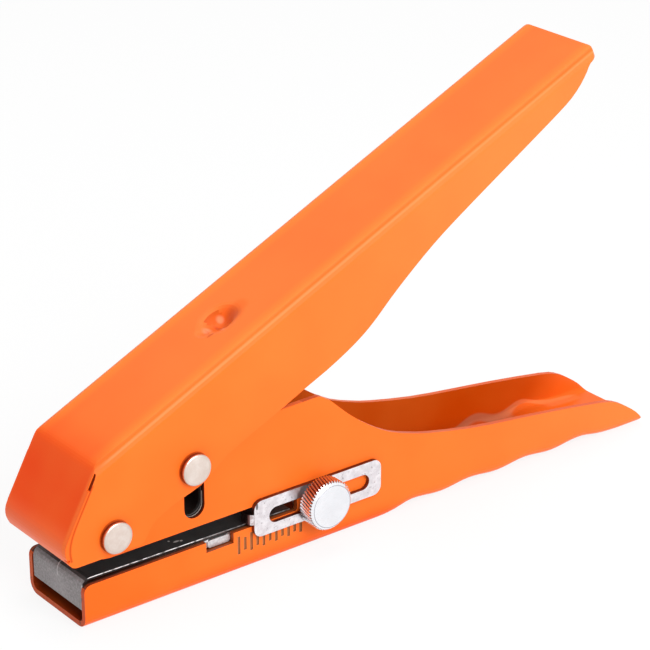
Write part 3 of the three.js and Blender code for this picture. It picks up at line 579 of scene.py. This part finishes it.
def grip_highlight(look, at, color, inner):
    """A waved band of painted highlight low by the far wall, inside the rear of the lower grip."""
    band_front, band_rear = 143.0, 184.0
    wave_start, wave_pitch = 148.6, 18.6
    phase = look.math("MULTIPLY", look.less(at.jaw_x, wave_start), 2.0 * math.pi / wave_pitch)
    rise = look.span(look.ramp(at.jaw_x, *BAND_RISES_MORE), 0.4, 1.2)
    level = look.span(look.ramp(at.jaw_x, *BAND_SINKS), 4.25, 0.85)
    height = look.math("MULTIPLY_ADD", look.math("COSINE", phase), rise, level)
    breadth = look.span(look.ramp(at.jaw_x, *BAND_BROADENS), 0.5, 1.2)
    band = look.all(look.within(look.share(look.less(at.z, height), breadth), -0.9, 0.3, 0.8),
                    look.ramp(at.y, 7.2, 8.8), inner, look.within(at.jaw_x, band_front, band_rear, 7.0))
    tint = look.mix(look.ramp(at.jaw_x, *BAND_WARMS), BAND_HIGHLIGHT_BROWN, BAND_HIGHLIGHT_ORANGE)
    return look.lay(color, tint, band, 0.6)


def jaw_shades_and_nicks(look, at, color):
    """Painted shade on the jaw's front rim, its walls' tops, the throat's closed end and beside the
    plate, and dark nicks at the rim.
    """
    # Painted shade on the jaw's front faces
    rim = look.all(look.under(at.nx, -0.8), look.under(at.jaw_x, 0.6))
    color = look.lay(color, SHADE_RED, rim, 0.75)
    wall_top = look.all(look.over(at.nz, 0.6), look.within(at.z, NOTCH_FLOOR + 0.2, JAW_HEIGHT + 0.2),
                        look.under(at.jaw_x, THROAT_DEPTH + 0.5), look.over(at.wide, BODY_INSIDE - 0.1))
    throat_end = look.all(look.under(at.nx, -0.5),
                          look.within(at.z, JAW_HEIGHT - 0.3, THROAT_CEILING + 0.2),
                          look.within(at.jaw_x, THROAT_DEPTH - 3.0, THROAT_DEPTH + 0.5),
                          look.under(at.wide, HALF_BODY - 0.04))
    # Painted shade on the walls' tops and at the throat's closed end
    color = look.lay(color, DEEP_SHADE_RED, look.any(wall_top, throat_end), 0.9)
    plate_side = look.all(wall_top, look.under(at.wide, HALF_BODY - 0.9))
    color = look.lay(color, PLATE_SHADE, plate_side)
    nicks = look.all(look.patches(*RIM_NICKS), look.under(at.jaw_x, 0.9))
    return look.lay(color, NICK_DARK, nicks, 0.8)


def cut_face_shades(look, at, color):
    """Cut faces in the drive slots in painted shade, deepest inside, with a painted glint low in them,
    and the die's notches' cut faces in painted shade.
    """
    cut = look.all(look.within(at.wide, BODY_INSIDE, HALF_BODY - 0.06, 0.03),
                   look.under(at.sideways, 0.6))
    slot = look.all(cut, look.within(at.z, SLOT_BOTTOM - 0.7, SLOT_TOP + 1.0),
                    look.within(at.jaw_x, SLOT_FRONT, SLOT_REAR))
    # Painted shade in the slot, darkest deeper in, and a painted glint below
    deeper_in = look.ramp(at.wide, HALF_BODY - 1.0, HALF_BODY - 0.1)
    color = look.lay(color, look.mix(deeper_in, SLOT_SHADOW, DEEP_SHADE_RED), slot)
    glint = look.all(slot, look.within(at.wide, BODY_INSIDE + 0.12, BODY_INSIDE + 0.28, 0.1),
                     look.under(at.z, SLOT_BOTTOM + 6.3))
    color = look.lay(color, GLINT, glint, 0.9)
    # Painted shade in the die's notches
    notch = look.all(cut, look.within(at.z, NOTCH_FLOOR, JAW_HEIGHT),
                     look.within(at.jaw_x, NOTCH_FRONT, NOTCH_REAR))
    return look.lay(color, DEEP_SHADE_RED, notch, 0.8)


def scale_marks(look, at, color):
    """Marks filled with brown dirt, and a fainter brown fringe on the face round them."""
    groove = look.all(look.within(at.y, 0.04 - HALF_BODY, 0.5 - HALF_BODY, 0.03),
                      look.within(at.z, MARK_HEIGHT - 3.6, MARK_HEIGHT + 3.2),
                      look.within(at.jaw_x, SCALE_FRONT, SCALE_REAR))
    strips = look.any(mark_strips(look, at, MARK_PITCH, MARK_SHORT),
                      mark_strips(look, at, 2.0 * MARK_PITCH, MARK_LONG))
    fringe = look.all(strips, look.under(at.y, 0.1 - HALF_BODY),
                      look.within(at.jaw_x, SCALE_FRONT, SCALE_REAR - 1.1))
    color = look.lay(color, FRINGE_BROWN, fringe, 0.6)
    dirt_and_shade = look.mix(look.noise(700.0), DIRT_DARK, DIRT_BROWN)
    return look.lay(color, dirt_and_shade, groove, 0.9)


def mark_strips(look, at, pitch, length):
    """1 on upright strips at an even pitch, a little larger than the marks that they cover."""
    from_mark = look.math("WRAP", look.less(at.jaw_x, MARK_START), pitch / 2.0, -pitch / 2.0)
    half_width, half_length = MARK_WIDTH / 2.0, length / 2.0
    beside = look.ramp(look.size(from_mark), half_width + 0.18, half_width + 0.02)
    above = look.ramp(look.size(look.less(at.z, MARK_HEIGHT)), half_length + 0.2, half_length + 0.05)
    return look.all(beside, above)


# Steel
def blackened_steel():
    """Blackened sheet steel with worn specks, and cut edges by the slot that are bare and also bright as
    a painted glint.
    """
    look = Look("blackened_steel", BLACK_STEEL, 0.36)
    at = Spot(look)
    black = look.mix(look.patches(*FRAME_BLOTCHES),
                     FRAME_BLACK, FRAME_GREY)
    black = look.lay(black, FRAME_WORN, look.patches(*FRAME_WEAR), 0.5)
    # Bare cut faces round the slot, laid bright in part as a painted glint
    cut_inside, cut_outside, cut_bottom = 10.95, 11.1, 19.9
    cut = look.all(look.within(at.wide, cut_inside, cut_outside), look.over(at.z, cut_bottom),
                   look.under(at.sideways, 0.6))
    bright = look.mix(look.noise(900.0), CUT_DULL, CUT_BARE_GLINT)
    look.link("Base Color", look.lay(black, bright, cut, 0.35))
    look.link("Roughness", look.span(look.noise(300.0, 4.0), 0.28, 0.5))
    look.bump(look.noise(1100.0, 3.0, 0.6), 0.12)
    return look.mat


def throat_steel():
    """The throat plate: grey steel with its top painted near-black as shade and reflection, its front
    bend left grey, a scratch and bare edges.
    """
    look = Look("throat_steel", BLACK_STEEL, 0.34, spec=0.4)
    at = Spot(look)
    black = shaded_plate_top(look, at)
    scratch_y, scratch_slope = -4.0, 0.35
    beside = look.math("MULTIPLY_ADD", at.z, -scratch_slope, look.less(at.y, scratch_y))
    scratch = look.all(look.within(beside, -0.1, 0.15, 0.12), look.under(at.nx, -0.2),
                       look.within(at.z, PLATE_TOP - 3.1, PLATE_TOP, 0.4))
    # Painted shade and reflection: the top keeps the near-black, the front bend and the scratch take the
    # grey
    front_or_scratch = look.any(look.ramp(at.nx, -0.3, -0.85), look.math("MULTIPLY", scratch, 0.5))
    color = look.mix(front_or_scratch, black, plate_grey(look))
    color = look.lay(color, SCRATCH, scratch, 0.7)
    color = plate_edges(look, at, color)
    look.link("Base Color", color)
    look.link("Roughness", look.span(look.noise(300.0, 4.0), 0.34, 0.55))
    look.bump(look.noise(1200.0, 4.0, 0.7), 0.2)
    return look.mat


def shaded_plate_top(look, at):
    """The plate's top, painted blotched near-black as shade and reflection, with worn specks and a few
    bare nicks by its near edge.
    """
    black = look.mix(look.patches(*PLATE_BLOTCHES),
                     PLATE_SHADE_BLACK, PLATE_SHADE_GREY)
    black = look.lay(black, PLATE_WORN, look.patches(*PLATE_WEAR), 0.5)
    half_width = 0.35
    # Place along and across, and half length
    for along, across, half_length in ((-2.9, -8.6, 0.9), (-1.6, -9.0, 0.4), (-4.4, -7.4, 0.3)):
        away = look.far(look.share(look.less(at.x, along), half_length),
                        look.share(look.less(at.y, across), half_width))
        nick = look.all(look.ramp(away, 1.2, 0.7), look.over(at.nz, 0.8))
        black = look.lay(black, PLATE_NICK, nick, 0.8)
    return black


def plate_grey(look):
    """Flecked grey of the plate's front bend, the plate's own grey."""
    grey = look.mix(look.patches(*BEND_FLECKS),
                    BEND_DARK, BEND_GREY)
    return look.lay(grey, BEND_PALE, look.patches(*BEND_CLOUDS), 0.4)


def plate_edges(look, at, color):
    """A thin, speckled bright line on the plate's side edges, darker behind the punch, and painted shade
    below it.
    """
    edge = look.all(look.over(at.sideways, 0.35), look.over(at.wide, HALF_PLATE - 0.2))
    bright = look.mix(look.patches(*EDGE_SPECKLE), EDGE_DULL, EDGE_BRIGHT)
    bright = look.lay(bright, EDGE_DARK, look.ramp(at.x, 3.2, 4.0), 0.7)
    color = look.mix(edge, color, bright)
    # Painted shade on the lower part of the side edges
    depth = look.less(look.math("MULTIPLY_ADD", at.jaw_x, -PLATE_FALL, PLATE_TOP), at.z)
    shaded_low_edge = look.all(edge, look.over(at.x, 0.6 - PUNCH_X), look.over(depth, 0.26))
    return look.mix(shaded_low_edge, color, EDGE_SHADE_BLACK)


def mottled(name, color, low, high, rough, scale, bump=0.06):
    """Plated or bare steel with an uneven gloss, and its mottled tone, not yet linked."""
    look = Look(name, color, rough, metal=1.0)
    tone = look.mix(look.patches(scale, 4.0, 0.65, 0.35, 0.68), low, high)
    look.link("Roughness", look.span(look.noise(scale * 2.2, 4.0, 0.6), rough * 0.75, rough * 1.3))
    look.bump(look.noise(scale * 4.0, 3.0, 0.6), bump)
    return look, tone


def bright_zinc():
    """Plain zinc plating."""
    look, tone = mottled("bright_zinc", color=(0.86, 0.85, 0.86), low=(0.62, 0.60, 0.60),
                         high=(0.95, 0.94, 0.95), rough=0.26, scale=220.0)
    look.link("Base Color", tone)
    return look.mat


def die_steel():
    """The die's bare steel, finely grained."""
    look, tone = mottled("die_steel", color=(0.7, 0.68, 0.68), low=(0.64, 0.62, 0.63),
                         high=(0.88, 0.87, 0.88), rough=0.42, scale=1100.0, bump=0.2)
    look.link("Base Color", tone)
    return look.mat


def stop_zinc():
    """The stop's bright plating: painted shade and reflection on its cut edges, with smudges, a mark and
    a darker, patchy tongue.
    """
    look, tone = mottled("stop_zinc", color=(0.9, 0.87, 0.9), low=(0.76, 0.72, 0.75),
                         high=(0.95, 0.92, 0.95), rough=0.3, scale=420.0)
    at = Spot(look)
    # Painted shade and reflection of the orange on the cut edges
    tone = look.lay(tone, STOP_EDGE_SHADE, look.ramp(at.sideways, 0.75, 0.5), 0.93)
    tone = look.lay(tone, STOP_SMUDGE, look.patches(*SMUDGES), 0.6)
    mark_x, mark_z, half_width, half_height = 18.55, 18.5, 0.35, 1.1
    away = look.far(look.share(look.less(at.x, mark_x), half_width),
                    look.share(look.less(at.z, mark_z), half_height))
    tone = look.lay(tone, STOP_MARK, look.ramp(away, 1.2, 0.8), 0.9)
    darker_tongue = look.all(look.ramp(at.x, 18.2, 17.2), look.patches(*TONGUE_PATCHES))
    tone = look.lay(tone, STOP_TONGUE_TONE, darker_tongue, 0.55)
    look.link("Base Color", tone)
    return look.mat


def knob_plating():
    """Bright plating with a fine line round the face, painted shade in the knurl's valleys, browner
    higher up, and a painted warm reflection on the knurl's flank.
    """
    look, tone = mottled("knob_plating", color=(0.9, 0.91, 0.93), low=(0.86, 0.88, 0.92),
                         high=(0.93, 0.95, 0.99), rough=0.24, scale=140.0)
    at = Spot(look)
    ring = look.far(look.less(at.x, KNOB.x), look.less(at.z, KNOB.z))
    rim_line = look.all(look.under(at.y, KNOB.y + 0.08),
                        look.within(ring, KNOB_FACE - 0.16, KNOB_FACE - 0.04, 0.1))
    tone = look.lay(tone, FACE_LINE, rim_line, 0.75)
    on_side = look.over(ring, KNOB_FACE + 0.2)
    # Painted shade in the knurl's valleys, browner higher up
    valley = look.all(look.ramp(ring, KNOB_RADIUS - 0.1, KNOB_RADIUS - 0.5),
                      look.over(at.y, KNOB.y + 0.62), on_side)
    dirt_and_shade = look.mix(look.ramp(at.z, KNOB.z + 1.0, KNOB.z + 4.0),
                    KNURL_SHADE, KNURL_SHADE_BROWN)
    tone = look.lay(tone, dirt_and_shade, valley, 0.85)
    # Painted reflection of the orange coat on the knurl's flank
    reflection_flank = look.all(look.over(at.y, KNOB.y + 1.05), on_side,
                     look.ramp(at.z, KNOB.z - 1.0, KNOB.z + 3.5))
    tone = look.lay(tone, KNURL_REFLECTION, reflection_flank, 0.4)
    look.link("Base Color", tone)
    return look.mat


def rivet_nickel():
    """Warm nickel heads, with painted shade on the dome's outer part and painted shade and reflection on
    the rim's side.
    """
    look, tone = mottled("rivet_nickel", color=(0.85, 0.76, 0.7), low=(0.76, 0.64, 0.57),
                         high=(0.86, 0.77, 0.71), rough=0.38, scale=200.0)
    at = Spot(look)
    # Painted shade on the dome's outer part
    tone = look.mix(look.ramp(at.sideways, 0.995, 0.93), tone, HEAD_EDGE_SHADE)
    # Painted shade and reflection of the orange coat on the rim's side
    low = look.all(look.ramp(at.sideways, 0.75, 0.45),
                   look.ramp(at.wide, RIVET_RIM + 0.35, RIVET_RIM - 0.1))
    look.link("Base Color", look.lay(tone, HEAD_RIM_SHADE, low, 0.93))
    return look.mat


def brushed(name, low, high, rough):
    """Bright steel drawn or ground along its length."""
    look = Look(name, high, rough, metal=1.0)
    along = look.add("ShaderNodeMapping", Vector=look.place, Scale=(2.0, 30.0, 30.0))
    streak = look.noise(60.0, 4.0, 0.6, along.outputs["Vector"])
    look.link("Base Color", look.mix(streak, low, high))
    look.link("Roughness", look.span(streak, rough * 0.8, rough * 1.25))
    look.bump(streak, 0.05)
    return look.mat


ORANGE_BODY = body_coat()
ORANGE_HANDLE = handle_coat()
BLACK = blackened_steel()
THROAT = throat_steel()
ZINC = bright_zinc()
STOP = stop_zinc()
DIE = die_steel()
KNURLED = knob_plating()
NICKEL = rivet_nickel()
STEEL = brushed("bright_steel", low=(0.52, 0.52, 0.53), high=(0.78, 0.78, 0.79), rough=0.32)
WIRE = brushed("spring_wire", low=(0.42, 0.42, 0.43), high=(0.62, 0.62, 0.63), rough=0.3)


# Pieces
def coated(obj, material):
    """Give an object its material and smooth shading."""
    obj.data.materials.clear()
    obj.data.materials.append(material)
    for polygon in obj.data.polygons:
        polygon.use_smooth = True


def dress(node, material, edge, limit=32.0):
    """Finish a CAD node: fine rounded edges where its faces meet at more than the limit."""
    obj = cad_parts[node]
    coated(obj, material)
    flat = obj.modifiers.new("flat_faces", "DECIMATE")
    flat.decimate_type = "DISSOLVE"
    flat.angle_limit = math.radians(0.4)
    if edge:
        bevel = obj.modifiers.new("edges", "BEVEL")
        bevel.width = edge * MM
        bevel.segments = 2
        bevel.limit_method = "ANGLE"
        bevel.angle_limit = math.radians(limit)
        bevel.use_clamp_overlap = False
        bevel.harden_normals = True
    shade = obj.modifiers.new("shading", "WEIGHTED_NORMAL")
    shade.keep_sharp = True
    shade.weight = 60


def flexing_coil():
    """The return spring as one smoother coil in the CAD node's place, its wire rounded by subdivision.
    """
    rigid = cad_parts["return_spring"]
    coil = bpy.data.objects.new("return_coil", rigid.data.copy())
    coil.matrix_world = rigid.matrix_world.copy()
    bpy.context.collection.objects.link(coil)
    coated(coil, WIRE)
    rounded = coil.modifiers.new("round_wire", "SUBSURF")
    rounded.levels = 1
    rounded.render_levels = 1
    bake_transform(coil)
    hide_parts("return_spring")


dress("lower_body", ORANGE_BODY, 0.3)
dress("upper_handle", ORANGE_HANDLE, 0.3)
dress("guide_frame", BLACK, 0.15)
dress("throat_plate", THROAT, 0.1)
dress("die_block", DIE, 0.2)
dress("clamp_nut", ZINC, 0.2)
dress("edge_stop", STOP, 0.15)
dress("clamp_washer", ZINC, 0.1)
dress("thumb_screw", KNURLED, 0.06, limit=40.0)
dress("pivot_spacer", STEEL, 0.15)
dress("pivot_rivet", NICKEL, 0.15)
dress("drive_rivet", NICKEL, 0.15)
dress("punch_holder", STEEL, 0.2)
dress("punch_pin", STEEL, 0.1)
dress("spring_seat", STEEL, 0.1)
dress("return_spring", WIRE, 0.0)
flexing_coil()


# Studio, in metres
def seen_rays(tree):
    """1 for camera, glossy and transmission rays."""
    path = tree.nodes.new("ShaderNodeLightPath")
    result = path.outputs["Is Camera Ray"]
    for kind in ("Is Glossy Ray", "Is Transmission Ray"):
        either = tree.nodes.new("ShaderNodeMath")
        either.operation = "MAXIMUM"
        tree.links.new(result, either.inputs[0])
        tree.links.new(path.outputs[kind], either.inputs[1])
        result = either.outputs[0]
    return result


def blended(tree, share, first, second, out):
    """End a node tree with a share of the second shader over the first."""
    both = tree.nodes.new("ShaderNodeMixShader")
    tree.links.new(share, both.inputs[0])
    tree.links.new(first.outputs[0], both.inputs[1])
    tree.links.new(second.outputs[0], both.inputs[2])
    tree.links.new(both.outputs[0], out.inputs["Surface"])


def floor_white():
    """Pale floor that takes the shadow, and that camera and mirror rays see nearly white."""
    mat = bpy.data.materials.new("floor")
    mat.use_nodes = True
    tree = mat.node_tree
    tree.nodes.clear()
    out = tree.nodes.new("ShaderNodeOutputMaterial")
    lit = tree.nodes.new("ShaderNodeBsdfDiffuse")
    lit.inputs["Color"].default_value = (0.94, 0.94, 0.94, 1.0)
    pale = tree.nodes.new("ShaderNodeEmission")
    pale.inputs["Color"].default_value = WHITE
    share = tree.nodes.new("ShaderNodeMath")
    share.operation = "MULTIPLY"
    share.inputs[1].default_value = 0.85
    tree.links.new(seen_rays(tree), share.inputs[0])
    blended(tree, share.outputs[0], lit, pale, out)
    return mat


def floor(half_side=6.0, drop=0.0001):
    """Wide floor just under the object."""
    corners = [(x * half_side, y * half_side, 0.0) for x, y in ((-1, -1), (1, -1), (1, 1), (-1, 1))]
    mesh = bpy.data.meshes.new("floor")
    mesh.from_pydata(corners, [], [(0, 1, 2, 3)])
    mesh.materials.append(floor_white())
    obj = bpy.data.objects.new("floor", mesh)
    obj.location.z = -drop
    bpy.context.collection.objects.link(obj)


def backdrop(light=0.45, seen=1.0):
    """World that lights the object softly and is seen white."""
    world = bpy.data.worlds.new("studio")
    bpy.context.scene.world = world
    world.use_nodes = True
    tree = world.node_tree
    tree.nodes.clear()
    out = tree.nodes.new("ShaderNodeOutputWorld")
    skies = []
    for strength in (light, seen):
        sky = tree.nodes.new("ShaderNodeBackground")
        sky.inputs["Color"].default_value = WHITE
        sky.inputs["Strength"].default_value = strength
        skies.append(sky)
    blended(tree, seen_rays(tree), *skies, out)


def lamp(name, place, size, power, target=(0.02, 0.0, 0.04)):
    """Rectangular lamp that points at the object's middle."""
    data = bpy.data.lights.new(name, "AREA")
    data.shape = "RECTANGLE"
    data.size, data.size_y = size
    data.energy = power
    obj = bpy.data.objects.new(name, data)
    obj.location = place
    aim = Vector(target) - Vector(place)
    obj.rotation_euler = aim.to_track_quat("-Z", "Y").to_euler()
    bpy.context.collection.objects.link(obj)


backdrop()
floor()
lamp("key", place=(0.0, -0.85, 0.65), size=(0.7, 0.6), power=9.5)
lamp("top", place=(0.1, 0.2, 1.1), size=(0.9, 0.9), power=5.0)

# Camera at the photograph's place, measured from the jaw's front end
CAMERA_PLACE = (-281.541, -473.109, 319.833)
AZIMUTH = math.radians(-37.79)
ELEVATION = math.radians(23.82)
LENS = 137.982
SENSOR = 36.0
NEAREST = 10.0
FARTHEST = 30000.0

back = Vector((math.sin(AZIMUTH) * math.cos(ELEVATION),
               -math.cos(AZIMUTH) * math.cos(ELEVATION), math.sin(ELEVATION)))
view = bpy.data.cameras.new("camera")
view.sensor_width = SENSOR
view.lens = LENS
view.clip_start = NEAREST * MM
view.clip_end = FARTHEST * MM
camera = bpy.data.objects.new("camera", view)
camera.location = ((CAMERA_PLACE[0] - PUNCH_X) * MM, CAMERA_PLACE[1] * MM, CAMERA_PLACE[2] * MM)
camera.rotation_mode = "QUATERNION"
camera.rotation_quaternion = (-back).to_track_quat("-Z", "Y")
bpy.context.collection.objects.link(camera)
bpy.context.scene.camera = camera
bpy.context.scene.view_settings.view_transform = "Standard"
